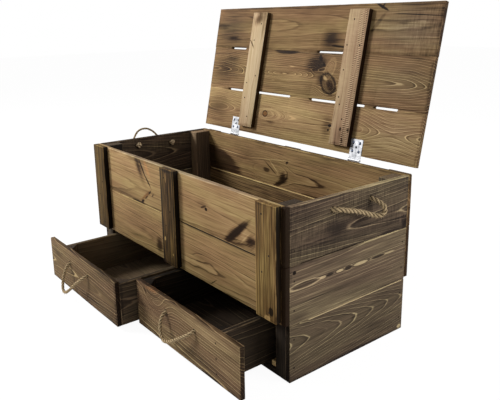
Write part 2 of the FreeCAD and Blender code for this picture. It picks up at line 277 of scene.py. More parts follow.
def lay_rope(parts, places, diameter, shrink=1):
    """Adds a twisted rope along a line of places to the lists in parts."""
    vertices, faces, marks, grooves = parts
    first = len(vertices)
    ways = [(b - a).normalized() for a, b in zip(places, places[1:])]
    ways = [ways[0]] + [(a + b).normalized() for a, b in zip(ways, ways[1:])] + [ways[-1]]
    side = ways[0].orthogonal().normalized()
    gone = 0
    for i, (place, way) in enumerate(zip(places, ways)):
        if i:
            gone += (place - places[i - 1]).length
            side = (side - way * side.dot(way)).normalized()
        across = way.cross(side)
        twist = 2 * math.pi * gone / (rope_lay * diameter)
        for j in range(rope_sides):
            angle = 2 * math.pi * j / rope_sides
            reach = strand_radius(angle)
            turn = angle + twist
            offset = (side * math.cos(turn) + across * math.sin(turn)) * (reach * diameter / 2 * shrink)
            vertices.append(place + offset)
            marks.append((gone / diameter / 10, j / rope_sides))
            grooves.append((1 - reach) * 3)
    rings = len(places)
    for i in range(rings - 1):
        for j in range(rope_sides):
            a = first + i * rope_sides + j
            b = first + i * rope_sides + (j + 1) % rope_sides
            faces.append((a, b, b + rope_sides, a + rope_sides))
    faces.append(tuple(first + j for j in reversed(range(rope_sides))))
    faces.append(tuple(first + (rings - 1) * rope_sides + j for j in range(rope_sides)))


def rope_piece(name, parts, material):
    """A mesh piece from the lists, with the strands' own map on it."""
    vertices, faces, marks, grooves = parts
    mesh = bpy.data.meshes.new(name)
    mesh.from_pydata(vertices, [], faces)
    mesh.update()
    layer = mesh.uv_layers.new(name="lay")
    for loop in mesh.loops:
        layer.data[loop.index].uv = marks[loop.vertex_index]
    groove = mesh.attributes.new("groove", "FLOAT", "POINT")
    for vertex, value in zip(groove.data, grooves):
        vertex.value = value
    for face in mesh.polygons:
        face.use_smooth = len(face.vertices) == 4
    mesh.materials.append(material)
    return add_object(name, mesh)


def tie_knot(parts, seat, inward, diameter, spin, slack):
    """An overhand knot drawn up against the board, with a short tail."""
    basis = inward.to_track_quat("Z", "Y").to_matrix() @ Matrix.Rotation(spin, 3, "Z")
    size = knot_size * diameter * slack
    loop = []
    for i in range(knot_steps + 1):
        t = 2 * math.pi * i / knot_steps
        loop.append(Vector((math.sin(t) + 2 * math.sin(2 * t), math.cos(t) - 2 * math.cos(2 * t),
                            1.55 * math.sin(3 * t))) * size)
    middle = seat + inward * (0.95 * diameter)
    lay_rope(parts, [middle + basis @ place for place in loop], diameter, shrink=0.92)
    lean = basis @ Vector((0.35, 0.1, 1)) * diameter
    tail = [middle + lean * (0.2 + 0.15 * i) for i in range(tail_steps)]
    lay_rope(parts, tail, diameter, shrink=0.95)


def stray_fibre(parts, root, way, length):
    """One loose fibre: a three-sided thread that runs out to a point and bends once."""
    vertices, faces, marks, grooves = parts
    first = len(vertices)
    side = way.orthogonal().normalized()
    across = way.cross(side)
    droop = Vector((0, 0, -0.25 * length))
    for place, size in ((root, fibre_radius), (root + way * length * 0.5, fibre_radius * 0.8)):
        for j in range(3):
            angle = 2 * math.pi * j / 3
            vertices.append(place + (side * math.cos(angle) + across * math.sin(angle)) * size)
    vertices.append(root + way * length + droop)
    marks += [(0.3, 0.5)] * 7
    grooves += [0] * 7
    for j in range(3):
        k = (j + 1) % 3
        faces.append((first + j, first + k, first + 3 + k, first + 3 + j))
        faces.append((first + 3 + j, first + 3 + k, first + 6))
    faces.append((first + 2, first + 1, first))


def fray(name, line, diameter, count):
    """The short fibres that stand off a rope all along it."""
    chance = random.Random(count)
    parts = ([], [], [], [])
    for i in range(count):
        k = chance.randrange(1, len(line) - 2)
        way = (line[k + 1] - line[k]).normalized()
        out = way.orthogonal().normalized()
        out.rotate(Matrix.Rotation(chance.uniform(0, 2 * math.pi), 3, way))
        root = line[k].lerp(line[k + 1], chance.random()) + out * (0.4 * diameter)
        lean = (out * chance.uniform(0.35, 1.1) + way * chance.choice((-1, 1))).normalized()
        stray_fibre(parts, root, lean, chance.uniform(0.3, 0.75) * diameter)
    return rope_piece("frayed_" + name, parts, pale_manila)


def rope_handle(name, knots_node, body, route, diameter, length, stiffness, lay, inward, fibres,
                slack=1):
    """One handle, with the knots on both its ends and its loose fibres as pieces of their own."""
    line = smooth_line(route)
    parts = ([], [], [], [])
    lay_rope(parts, line, diameter)
    rope = rope_piece("laid_" + name, parts, pale_manila)
    tied = ([], [], [], [])
    for seat, spin in ((line[0], 0.4), (line[-1], 2.3)):
        tie_knot(tied, seat, inward, diameter, spin, slack)
    knots = rope_piece("tied_" + name, tied, clean_manila)
    loose = fray(name, line, diameter, fibres)
    for piece in (rope, knots, loose):
        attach(piece, body)
    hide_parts(name)
    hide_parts(knots_node)


pale_manila = manila("pale_manila", stain(70, 56, 38), stain(194, 170, 132))
clean_manila = manila("clean_manila", stain(120, 100, 74), stain(238, 216, 180))   # where no hand has been
rope_handle("end_rope_right", "end_rope_knots", "case", end_right_route, end_right_rope, 0.2495,
            "medium", "hanging", Vector((-1, 0, 0)), 420)
rope_handle("end_rope_left", "end_rope_knots", "case", end_left_route, end_left_rope, 0.261,
            "stiff", "loose", Vector((1, 0, 0)), 160, slack=1.35)
rope_handle("drawer_left_rope", "drawer_left_rope_knots", "drawer_left", drawer_left_route, drawer_rope,
            0.275, "medium", "hanging", Vector((0, 1, 0)), 240)
rope_handle("drawer_right_rope", "drawer_right_rope_knots", "drawer_right", drawer_right_route,
            drawer_rope, 0.247, "medium", "hanging", Vector((0, 1, 0)), 260)

# The ends: three rough-sawn pine planks each, with the grain front to back,
# nailed to the corner posts. They are darker than the front.
end_tones = (stain(50, 41, 33), stain(106, 90, 71), stain(176, 157, 120))
hinge_line = Vector((0, 233.2, 459)) * mm
lid_lean = math.radians(101.85)
rope_hole_clearance = 1.5 * mm
short_length = 70 * mm       # of board, out of true by itself
worn_edge = 1.5 * mm
sharp = math.radians(50)     # edges turn more than this, and curves less


def figure(along, across, long, wide, turn=0, push=0, part=0, eye=0, dark=0, rough=0.3, soft=0.75,
           rim=0, tint=None, skin=0):
    """A mark on a board's face: an oval that far from the middle of the face in
    millimetres, turned by degrees. Push bends the year rings, part leads them
    round both sides, and eye fills the oval with rings of its own. Dark darkens
    it, as stain or as painted shade, or pales it below 0, as the wood's own paler
    colour or as painted light, and rim does so to its outline. Tint colours it,
    as stain or as a painted sheen. Skin names the one face that it is on, -1 or
    1, if it doesn't go through the board."""
    return SimpleNamespace(**locals())


# A soft cloud, of stain that has soaked in or of painted light or shade; a
# crack, a tear or a strip of bark with a clean edge; and a place where the
# grain turns, with no mark of its own.
smear = partial(figure, dark=0.3, rough=0.7, soft=-0.1)
sliver = partial(figure, dark=0.5, rough=0.7, soft=0.5)
swirl = partial(figure, push=20)


def levelled(finish, value, centre=hinge_line):
    """A place on the open lid, or a way when the centre is 0, as it is with the lid level."""
    return finish.node("VectorRotate", value, centre, None, lid_lean, rotation_type="X_AXIS")


class Board(Finish):
    """The finish of one board. Its order names the axes along the grain,
    across the face and through the board."""

    def __init__(self, name, corners, order, seed, leaning):
        super().__init__(name, roughness=0.75, specular=0.08)
        low, high = corners
        place = self.node("TexCoord", result=3)
        facing = self.node("TexCoord", result=1)
        if leaning:
            place = levelled(self, place)
            facing = levelled(self, facing, (0, 0, 0))
        self.half = [(high - low)["XYZ".index(letter)] / 2 for letter in order]
        self.parts = self.split(self.vector("SUBTRACT", place, (low + high) / 2), order)
        self.along, self.across, self.through = self.parts
        self.place = self.node("CombineXYZ", *self.parts)
        self.facing = [abs(way) for way in self.split(facing, order)]
        self.shift = Vector((7.3, 3.1, 5.7)) * (seed + 1)
        self.ragged = self.about_none(12, 130, 4, 0.7)

    def grain(self, along, across, detail=2, roughness=0.5, place=None):
        """Noise drawn out along the board, from 0 to 1: its features per metre each way."""
        place = self.vector("MULTIPLY_ADD", place or self.place, (along, across, across), self.shift)
        return self.noise(place, detail, roughness)

    def about_none(self, *looks, place=None):
        """The same, from -0.5 to 0.5."""
        return self.grain(*looks, place=place) - 0.5

    def oval(self, mark):
        """How far out a place is on a mark's oval, where its edge is 1: first
        with a clean edge, then with a fibrous one."""
        near = self.vector("SUBTRACT", self.place,
                           (mark.along * mm, mark.across * mm, mark.skin * self.half[2]))
        ragged = self.ragged
        if mark.turn:
            near = self.node("VectorRotate", near, None, None, -math.radians(mark.turn),
                             rotation_type="Z_AXIS")
            ragged = self.about_none(14, 230, 3, 0.75, place=near)
        near = self.vector("MULTIPLY", near, (1 / mm / mark.long, 1 / mm / mark.wide,
                                              abs(mark.skin) / (1.5 * self.half[2])))
        near = self.vector("LENGTH", near)
        return near, near + ragged * mark.rough

    def year_rings(self, figures, ovals, heart, taper, waver):
        """The distance from the heart of the tree, which opens along the board by the taper."""
        across = self.across
        for mark, near in zip(figures, ovals):
            if mark.part:
                across += (mark.across * mm - self.across) * self.fade(near, 0.8, 2.6, mark.part, 0)
        spot = self.node("CombineXYZ", 0, across, self.through)
        ring = self.vector("LENGTH", self.vector("SUBTRACT", spot, (0, heart[0] * mm, heart[1] * mm)))
        ring += self.along * taper + self.grain(3, 7) * (4 * waver * mm) + self.grain(14, 60) * (3 * mm)
        for mark, near in zip(figures, ovals):
            if mark.push:
                ring += self.fade(near, 0, 2.4, mark.push * mm, 0)
            if mark.eye:
                own = near * (mark.eye * mark.wide * mm)
                ring = self.blend(self.fade(near, 0.95, 1.05, 1, 0), ring, own)
        return ring

    def late_wood(self, ring, rings):
        """The hard line that ends each year: above 0 on it and below just before
        it, by a strength of the year's own."""
        count = self.math("DIVIDE", ring, rings * mm)
        strength = self.node("TexWhiteNoise", None, self.math("FLOOR", count), noise_dimensions="1D")
        late = self.ramp(self.math("FRACT", count), [(0, 0.46), (0.5, 0.45), (0.68, 0.26), (0.76, 0.3),
                                                     (0.82, 1), (0.88, 0.92), (0.94, 0.5), (1, 0.46)])
        return (late - 0.46) * (strength * 1.2 + 0.3)

    def saw_torn(self, tone, strength, start):
        """Short marks across the board, from the saw's teeth: from start on, if it is given."""
        teeth = self.about_none(170, 22, 3, 0.75)
        where = self.fade(self.grain(5, 9), 0.4, 0.55, 0.25 * strength, strength)
        if start is not None:
            where *= self.fade(self.along, (start - 25) * mm, (start + 5) * mm, 0, 1)
        return tone + teeth * where

    def saw_stroked(self, tone, start, stop, pitch, strength):
        """The even, slanting strokes of a saw, on a strip along the board."""
        per_stroke = 2 * math.pi / (pitch * mm)
        wave = self.math("SINE", self.across * (0.35 * per_stroke) + self.along * per_stroke)
        wave *= self.fade(self.across, start * mm, (start + 4) * mm, 0, strength)
        wave *= self.fade(self.across, (stop - 4) * mm, stop * mm, 1, 0)
        return tone + wave * self.fade(self.grain(30, 90), 0.4, 0.55, 0, 1)

    def stained(self, tone, figures, blurs):
        """Each mark, and its outline, as dark as they are."""
        for mark, near in zip(figures, blurs):
            if mark.dark:
                tone -= self.fade(near, mark.soft, 1.15, mark.dark, 0)
            if mark.rim:
                tone -= self.fade(near, 0.72, 0.95, 0, mark.rim) * self.fade(near, 0.98, 1.2, 1, 0)
        return tone

    def handled(self, tone, blots, wear):
        """Darker near the edges; the arrises paler in patches, as wear and as painted highlight where they
        catch the light.
        """
        end, side, face = [half - abs(part) for half, part in zip(self.half, self.parts)]
        border = self.math("MINIMUM", side, end)
        grimy = self.fade(border + blots * 0.04, 0, 8 * mm, 0.12, 0)
        worn = self.fade(border + face, 1 * mm, 3.5 * mm, wear, 0)
        return tone - grimy + worn * self.fade(self.grain(14, 14, 3, 0.6), 0.38, 0.58, 0.15, 1)

    def rubbed(self, tone, which, start, stop, reach, strength):
        """A stretch of one long edge made paler, as wear or as painted highlight where the arris catches the
        light, or darker.
        """
        off = self.half[1] - self.across * which + self.ragged * (1.5 * mm)
        lit = self.fade(off, 0.4 * reach * mm, reach * mm, strength, 0)
        lit *= self.fade(self.along, (start - 8) * mm, (start + 8) * mm, 0, 1)
        lit *= self.fade(self.along, (stop - 8) * mm, (stop + 8) * mm, 1, 0)
        return tone + lit

    def wood_colour(self, tone, tones):
        """From near black to a worn bright, through the three tones, a little warmer in places."""
        deep, body, pale = tones
        black = (0.32 * deep[0], 0.28 * deep[1], 0.22 * deep[2], 1)
        bright = tuple(min(1, 1.3 * value) for value in pale[:3]) + (1,)
        colour = self.ramp(tone, [(0, black), (0.25, deep), (0.5, body), (0.75, pale), (1, bright)])
        warmth = self.fade(self.grain(2.5, 14, 3, 0.6), 0.3, 0.7, 0.488, 0.506)
        return self.node("HueSaturation", warmth, 1, 1, 1, colour)


def pine(node, corners, order, tones, seed, rings=8, heart=(0, -60), taper=0.02, waver=3,
         figures=(), edges=(), level=0.5, blotch=0.27, lines=0.35, fibre=0.3, streak=0.15, cracks=0.1,
         saw=0, saw_from=None, kerfs=None, wear=0.3, cut=0.1, sides=0, leaning=False):
    """Stained pine. The heart is that far across and deep, in millimetres.
    Edges lists stretches of the long edges made paler, as wear or as painted
    highlight where an arris catches the light, or below 0 darker: which
    one, from where to where along it, how far in and how strong. Kerfs does so
    for saw strokes: from where to where across, how far apart and how strong.
    Cut darkens the sawn ends, and sides paints shade on the board's sides."""
    board = Board("pine_" + node, corners, order, seed, leaning)
    ovals, blurs = zip(*[board.oval(mark) for mark in figures]) if figures else ((), ())
    late = board.late_wood(board.year_rings(figures, ovals, heart, taper, waver), rings)
    blots = board.about_none(3.5, 9, 4, 0.6)
    fibres = board.about_none(5, 150, 3, 0.65)
    threads = board.about_none(12, 420, 2, 0.6)
    streaks = board.about_none(1.4, 45, 3, 0.6)
    tone = late * lines + level + blots * blotch + (fibres + threads) * fibre + streaks * streak
    tone -= board.fade(board.grain(3.5, 130), 0.64, 0.74, 0, cracks)
    if saw:
        tone = board.saw_torn(tone, saw, saw_from)
    if kerfs:
        tone = board.saw_stroked(tone, *kerfs)
    tone = board.stained(tone, figures, blurs)
    tone = board.handled(tone, blots, wear)
    for stretch in edges:
        tone = board.rubbed(tone, *stretch)
    # the sawn ends are darkened as stain, the sides as painted shade
    for way, strength in zip(board.facing, (cut, sides)):
        if strength:
            tone -= board.fade(way, 0.7, 0.95, 0, strength)
    colour = board.wood_colour(tone, tones)
    for mark, near in zip(figures, blurs):
        if mark.tint:
            colour = board.tinted(board.fade(near, mark.soft, 1.15, 1, 0), colour, (*mark.tint, 1))
    board.relief(late * 0.5 + fibres + threads, 0.6 * mm)
    return board.done(colour, board.fade(tone, 0, 1, 0.62, 0.86))


def sawn_board(name, corners, order, material, seed, wander, bow):
    """A board with its edges worn round, cut across the grain into short
    lengths whose corners each stand a little out of true. Bow shapes it more."""
    low, high = corners
    way = Vector([letter == order[0] for letter in "XYZ"])
    length = (high - low).dot(way)
    bpy.ops.object.select_all(action="DESELECT")
    bpy.ops.mesh.primitive_cube_add(size=1, location=(low + high) / 2, scale=high - low)
    made = bpy.context.object
    made.name = made.data.name = name
    bpy.ops.object.transform_apply(location=True, rotation=True, scale=True)
    bpy.ops.object.mode_set(mode="EDIT")
    count = max(2, round(length / short_length))
    for i in range(1, count):
        bpy.ops.mesh.select_all(action="SELECT")
        bpy.ops.mesh.bisect(plane_co=low + way * length * i / count, plane_no=way)
    if bow:
        bow(made)
    bpy.ops.mesh.select_all(action="SELECT")
    bpy.ops.transform.vertex_random(offset=wander, uniform=0, normal=0, seed=seed)
    bpy.ops.object.mode_set(mode="OBJECT")
    wear = made.modifiers.new("worn", "BEVEL")
    wear.width = worn_edge
    wear.segments = 2
    wear.limit_method = "ANGLE"
    wear.angle_limit = math.radians(40)
    bpy.ops.object.modifier_apply(modifier="worn")
    bpy.ops.object.shade_smooth_by_angle(angle=sharp)
    made.data.materials.append(material)
    return made


def bore(made, places, diameter, way, depth=30 * mm):
    """Drills holes that deep, and clear through a thinner board. The wood in them
    is painted dark, as the shade down in a hole."""
    turn = way.to_track_quat("Z", "Y").to_euler()
    for place in places:
        bpy.ops.object.select_all(action="DESELECT")
        bpy.ops.mesh.primitive_cylinder_add(vertices=32, radius=diameter / 2, depth=2 * depth,
                                            location=Vector(place) * mm, rotation=turn)
        drill = bpy.context.object
        drill.data.materials.append(dark_hole)
        bpy.context.view_layer.objects.active = made
        cut = made.modifiers.new("hole", "BOOLEAN")
        cut.object = drill
        cut.solver = "EXACT"
        cut.material_mode = "TRANSFER"
        bpy.ops.object.modifier_apply(modifier="hole")
        bpy.data.objects.remove(drill)
    made.select_set(True)
    bpy.ops.object.shade_smooth_by_angle(angle=sharp)


def old_dark(name, deep, body):
    """Something so dark, with age or as painted shade, that only a mottle shows."""
    finish = Finish(name, roughness=0.9, specular=0.1)
    mottle = finish.noise(finish.node("TexCoord", result=3), 3, 0.6, scale=180)
    return finish.done(finish.ramp(mottle, [(0.3, deep), (0.7, body)]))


# painted shade: the dark inside of a drilled hole
dark_hole = old_dark("dark_hole", stain(14, 10, 7), stain(38, 29, 20))


def place_board(node, slot, order, tones, seed, body="case", corners=None, wander=0.35 * mm, bow=None,
                **looks):
    """A finished board where the CAD has its plain one."""
    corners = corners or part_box(node)
    material = pine(node, corners, order, tones, seed, **looks)
    made = sawn_board("sawn_" + node, corners, order, material, seed, wander, bow)
    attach(made, body)
    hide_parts(node)
    return made


end_plank = partial(place_board, slot="end_planks", order="YZX", tones=end_tones)
# The pale lines along the top edges of the right end's planks are painted highlight, where the arrises catch
# the light.
end_plank(
    "end_right_plank_bottom", seed=1, level=0.385, cut=0.35, rings=6.8, heart=(27, -30), taper=0.115,
    waver=2, lines=0.38, blotch=0.2, wear=0.15, edges=[(1, -150, 205, 1.9, 1.2)], figures=[
        figure(205, -66, 8, 6, dark=-0.45, rough=1.2), smear(0, -73, 220, 8),
        smear(-170, -10, 50, 30, dark=-0.06), smear(90, -20, 90, 22, dark=0.07)])
end_plank(
    "end_right_plank_middle", seed=2, level=0.49, cut=0.35, rings=7, heart=(90, -60), taper=0.012, waver=2,
    lines=0.24, blotch=0.1, fibre=0.36, wear=0.15, edges=[(1, 48, 180, 1.9, 1.2)], figures=[
        sliver(-168, 21, 54, 9, dark=0.12, rim=-0.3), sliver(-107, 21, 13, 5, dark=-0.35, rim=0.1),
        sliver(-47, 22, 16, 5, dark=-0.35, rim=0.2), sliver(32, 22, 34, 6, dark=-0.32, rim=0.2),
        sliver(150, 22, 24, 3, dark=-0.25), sliver(-82, 22, 15, 5, dark=0.24),
        sliver(-16, 22, 17, 7, dark=0.26, rim=-0.15), sliver(100, 22, 32, 5, dark=0.24, rim=-0.15),
        figure(-203, 60, 6, 5, dark=0.6), smear(-40, -24, 150, 14, dark=0.14),
        smear(-190, -60, 40, 16, dark=0.12), smear(-100, 56, 110, 10, dark=0.1)])
right_top = end_plank(
    "end_right_plank_top", seed=3, saw=0.45, level=0.37, cut=0.35, rings=9, heart=(-18, -22), taper=-0.05,
    waver=2, lines=0.36, blotch=0.3, wear=0.2, edges=[(-1, -178, 10, 3.5, -0.7), (1, -217, 217, 2.5, 0.3)],
    figures=[
        smear(-60, -14, 60, 32, dark=0.14), smear(60, 30, 60, 26, dark=0.1), smear(206, -60, 12, 26)])
bore(right_top, (end_right_route[0], end_right_route[-1]), end_right_rope + 2 * rope_hole_clearance,
     Vector((1, 0, 0)))
# The left end's planks are a little darker than the right end's, as painted shade on their inside face.
for height, seed in (("bottom", 4), ("middle", 5), ("top", 6)):
    left_top = end_plank("end_left_plank_" + height, seed=seed, level=0.34, taper=0.07, heart=(10, -34),
                         saw=0.3)
bore(left_top, (end_left_route[0], end_left_route[-1]), end_left_rope + 2 * rope_hole_clearance,
     Vector((1, 0, 0)))

# The corner posts inside the case, of planed pine, seen at the rim and in the
# drawer bay.
post_tones = (stain(40, 34, 28), stain(88, 75, 59), stain(142, 121, 92))
# The posts' levels differ as painted light and shade: the front right post, in the shadow of the right
# drawer, is darkest.
post_levels = {"front_left": 0.35, "front_right": 0.25, "back_left": 0.76, "back_right": 0.5}
for seed, (corner, level) in enumerate(post_levels.items()):
    place_board("post_" + corner, "posts", "ZXY", post_tones, 10 + seed, level=level, cut=-0.2,
                sides=0.1)

# The front and the back: two long pine planks each, one above the other,
# nailed to the ends and the posts. A board below closes the drawer bay behind.
front_tones = (stain(64, 47, 28), stain(146, 119, 79), stain(190, 164, 114))
long_plank = partial(place_board, order="XZY", tones=front_tones)
# sides darkens the front planks' top and bottom edges, as painted shade
long_plank(
    "front_plank_upper", "front_planks", seed=20, level=0.54, wear=0.3, cut=0.5, rings=9, heart=(-30, -90),
    taper=0.015, waver=3, lines=-0.2, sides=0.08,
    edges=[(1, -500, 480, 3, 0.25), (-1, -245, -165, 2.5, -0.4)], figures=[
        # a painted bluish highlight along the top rim
        figure(0, 78, 540, 8, tint=(0.84, 0.92, 1.2), soft=0.7, rough=0.1),
        figure(-142, 47, 36, 10, -57, tint=(1, 0.82, 0.73), dark=-0.1, soft=0.4, rough=0.7),
        figure(-171, 44, 36, 6, -56, dark=0.55, rough=0.7, soft=0.1),
        figure(-139, 7, 30, 5, -44, dark=0.5, rough=0.7, soft=0.1), smear(-198, 52, 48, 20, -56, dark=0.34),
        smear(-178, 14, 50, 18, -50, dark=0.14),
        figure(-157, -42, 46, 7, 34, tint=(1, 0.80, 0.70), dark=0.12, rough=1, soft=0.3),
        figure(-130, -27, 12, 5, 40, dark=0.4, rough=1.5, soft=0.1),
        figure(-112, -32, 9, 5, 40, dark=0.25, rough=1.5, soft=0.1),
        figure(-152, -46, 15, 5, 34, dark=0.3, rough=1.5, soft=0.1),
        figure(-177, -64, 12, 7, 25, dark=0.6, rough=1.2, soft=0.2), smear(-212, -70, 46, 8),
        figure(178, -6, 6, 5, part=0.5, dark=0.7, rough=0.5), smear(158, 8, 44, 20, dark=0.12),
        figure(166, -2, 14, 3, 20, dark=0.25, rough=0.8), smear(328, -22, 62, 13, 38, dark=0.55),
        smear(304, -42, 50, 20, 36, dark=0.45), figure(318, -30, 60, 9, 38, dark=0.35, rough=1.4, soft=-0.2),
        smear(284, -58, 30, 12, 26, dark=0.45), smear(330, -62, 46, 9, 10, dark=0.35),
        figure(349, -42, 40, 5, 44, dark=-0.22, rough=0.9, soft=-0.2), smear(372, -44, 30, 26, 40, dark=0.4),
        # the strip right of the right batten is painted dark, as the batten's shadow
        figure(495, 0, 11, 150, dark=0.7, rough=0.1, soft=0.6)])
long_plank(
    "front_plank_lower", "front_planks", seed=21, level=0.49, wear=0.2, cut=0.5, rings=6, heart=(-30, -80),
    taper=0.015, waver=3, lines=-0.3, sides=0.15,
    edges=[(1, -420, -250, 2.5, 0.1), (1, -165, -60, 2.5, 0.15), (1, 45, 390, 3, -0.5)], figures=[
        smear(-84, -36, 26, 32, dark=0.4), smear(-150, -8, 30, 8, dark=-0.1),
        smear(215, -18, 22, 6, dark=-0.12), smear(350, -22, 30, 6, dark=-0.12),
        swirl(40, -8, 60, 10, push=9), sliver(205, -60, 20, 1.5, 35),
        # the strip right of the right batten is painted dark, as the batten's shadow
        figure(495, 0, 11, 150, dark=0.7, rough=0.1, soft=0.6)])
long_plank(
    "back_plank_upper", "back_planks", seed=22, level=0.46, rings=8, heart=(-25, -50), taper=0.025,
    lines=-0.32, edges=[(-1, -420, 80, 3, 0.4)], figures=[
        # painted shadow of the left end and its post on the inside face, over the shadow that the lamp casts
        figure(-392, -34, 150, 52, -14, dark=0.3, rough=0.5, soft=0.7, skin=-1),
        figure(-14, -36, 26, 22, 20, part=0.5, dark=0.6, rough=1.5, soft=-0.1, skin=-1),
        figure(-36, -58, 34, 10, 26, dark=0.5, rough=1.4, soft=0.1, skin=-1),
        figure(-78, -12, 46, 3, -32, dark=0.3, rough=0.9, soft=0.3),
        figure(-62, -4, 40, 3, -40, dark=-0.22, rough=0.9, soft=0.3),
        figure(6, 22, 8, 6, 40, dark=0.45, rough=0.9, soft=0.3), sliver(-318, 9, 102, 1.4, -3, dark=-0.35),
        sliver(-75, 19, 146, 1.4, 6, dark=-0.25), swirl(-90, -20, 60, 40, push=-18),
        smear(330, 0, 150, 70, dark=-0.14)])
# The pale line along its top edge is painted highlight, where it stands proud of the upper plank and catches
# the light.
long_plank("back_plank_lower", "back_planks", seed=23, level=0.32, rings=8, heart=(10, -50), lines=-0.32,
           edges=[(1, -440, 440, 2.5, 0.6)])
place_board("bay_back_board", "base", "XZY", post_tones, 24)

# The battens nailed up the front and the back, three each. Their sides are
# darkened, as painted shade.
batten_tones = (stain(36, 27, 15), stain(100, 77, 43), stain(152, 126, 78))
batten = partial(place_board, order="ZXY", tones=batten_tones, rings=9, heart=(60, -70), taper=0.01,
                 lines=-0.3, fibre=0.72, streak=0.5, cracks=0.4, wear=0.35, sides=0.3, cut=-0.12)
batten("front_batten_left", "front_battens", seed=30, level=0.38)
batten(
    "front_batten_middle", "front_battens", seed=31, level=0.33, figures=[
        figure(-70, -22, 7, 4, dark=-0.5, rough=1), figure(120, -6, 16, 2.5, dark=-0.35),
        figure(-110, 20, 4, 3, dark=-0.4)])
batten(
    "front_batten_right", "front_battens", seed=32, level=0.55, figures=[
        figure(-142, 6, 9, 12, dark=-0.45, rough=1.2), figure(-120, 20, 12, 9, dark=0.3, rough=1)])
for seed, place in enumerate(("left", "middle", "right")):
    batten("back_batten_" + place, "back_battens", seed=34 + seed, level=0.42)

# The floor of the bin, and below it the bearers, the base boards and the
# strips that the drawers run between.
for seed, row in enumerate(("front", "middle", "back")):
    place_board("bin_floor_board_" + row, "bin_floor", "XYZ", batten_tones, 40 + seed, level=0.45)


def coat(node, material):
    """Gives a part that stays as the CAD has it its material."""
    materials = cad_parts[node].data.materials
    materials.clear()
    materials.append(material)


for seed, (node, order, tones, level, cut) in enumerate((
        ("bin_floor_bearers", "YXZ", post_tones, 0.4, 0.1), ("base_boards", "XYZ", post_tones, 0.35, 0.1),
        ("drawer_guide_strips", "YXZ", front_tones, 0.6, -0.5))):
    coat(node, pine(node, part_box(node), order, tones, 44 + seed, level=level, cut=cut))

# The drawers: butt-jointed boxes of the same planks, with a wider front, and
# a three-cornered block glued into each corner.
drawer_tones = (stain(50, 37, 24), stain(114, 92, 65), stain(176, 152, 112))
# The drawers' insides are drawn in very dark tones, as painted shade.
inside_tones = (stain(24, 19, 14), stain(57, 47, 36), stain(108, 92, 70))
# sides darkens the drawer fronts' top and bottom edges, as painted shade
drawer_front = partial(place_board, slot="drawer_fronts", order="XZY", tones=drawer_tones, wear=0.12,
                       cut=0.3, sides=0.16)
drawer_front(
    "drawer_left_front", seed=50, body="drawer_left", level=0.44, rings=8, heart=(-4, -28), taper=0.05,
    waver=4, lines=0.5, edges=[(1, -250, 250, 2, 0.1)], figures=[
        smear(80, -46, 160, 14, dark=0.12), smear(-190, 30, 50, 20, dark=0.1)])
drawer_front(
    "drawer_right_front", seed=60, body="drawer_right", level=0.49, rings=7, heart=(-70, -50), taper=0.035,
    lines=0.65, edges=[(1, -180, 250, 2, 0.1)], figures=[
        figure(-150, 76, 42, 40, part=0.6, eye=0.9, rough=0.15, dark=0.06),
        figure(-194, 54, 13, 3, -50, dark=0.4, rough=0.8, soft=0.3), swirl(-130, 20, 50, 30, push=22),
        smear(110, 44, 150, 18, -2, dark=-0.14), smear(60, -40, 190, 16, dark=0.12),
        smear(-86, 24, 14, 12, dark=0.25), smear(-205, -20, 50, 40, dark=0.12),
        smear(-60, -52, 60, 10, dark=-0.1),
        figure(-160, 66, 40, 5, 2, tint=(1, 0.80, 0.68), dark=-0.1, soft=0.5)])
# Each drawer's inside has a level of its own, and its inner side is darker still, as painted shade.
for drawer, route, level in (("drawer_left", drawer_left_route, 0.73),
                             ("drawer_right", drawer_right_route, 0.42)):
    bore(bpy.data.objects["sawn_" + drawer + "_front"], (route[0], route[-1]),
         drawer_rope + 2 * rope_hole_clearance, Vector((0, 1, 0)))
    for seed, (part, order) in enumerate((("side_inner", "YZX"), ("side_outer", "YZX"), ("back", "XZY"))):
        place_board(drawer + "_" + part, "drawer_boxes", order, inside_tones, 70 + seed, drawer,
                    wander=0.12 * mm, wear=0.6, level=0.8 * level if part == "side_inner" else level)
    for seed, (part, order) in enumerate((("_bottom", "XYZ"), ("_corner_blocks", "ZXY"))):
        node = drawer + part
        coat(node, pine(node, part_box(node), order, inside_tones, 75 + seed, level=level))

# The lid: three planks held by two battens across their underside. The
# planks' edges are uneven, so that the seams between them are open in places.
lid_tones = (stain(50, 36, 23), stain(126, 100, 67), stain(182, 154, 108))
pale_tones = (stain(108, 84, 56), stain(182, 156, 120), stain(214, 192, 158))
tan_tones = (stain(70, 52, 34), stain(154, 127, 96), stain(196, 170, 134))
rear_seam = ((-385, -35), (55, 292), (324, 414))     # where the seams are open
front_seam = ((-400, -310), (58, 172))
seam_closed = 1.2 * mm       # out from the plank's edge in the CAD
seam_open = 2.4 * mm         # and back from it
seam_turn = 3                # length of the slope from one to the other
hinge_places = (-305, 287.5)
spare_hole = 5 * mm          # under the hole in each hinge leaf that has no screw
spare_hole_back = 24         # from the rear plank's edge
lean_back = (Matrix.Translation(hinge_line) @ Matrix.Rotation(-lid_lean, 4, "X")
             @ Matrix.Translation(-hinge_line))


def level_box(node):
    """The corners of a lid piece as it lies with the lid level."""
    back = Matrix.Rotation(lid_lean, 3, "X")
    laid = [back @ (vertex.co - hinge_line) + hinge_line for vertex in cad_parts[node].data.vertices]
    return [Vector([pick(place[i] for place in laid) for i in range(3)]) for pick in (min, max)]


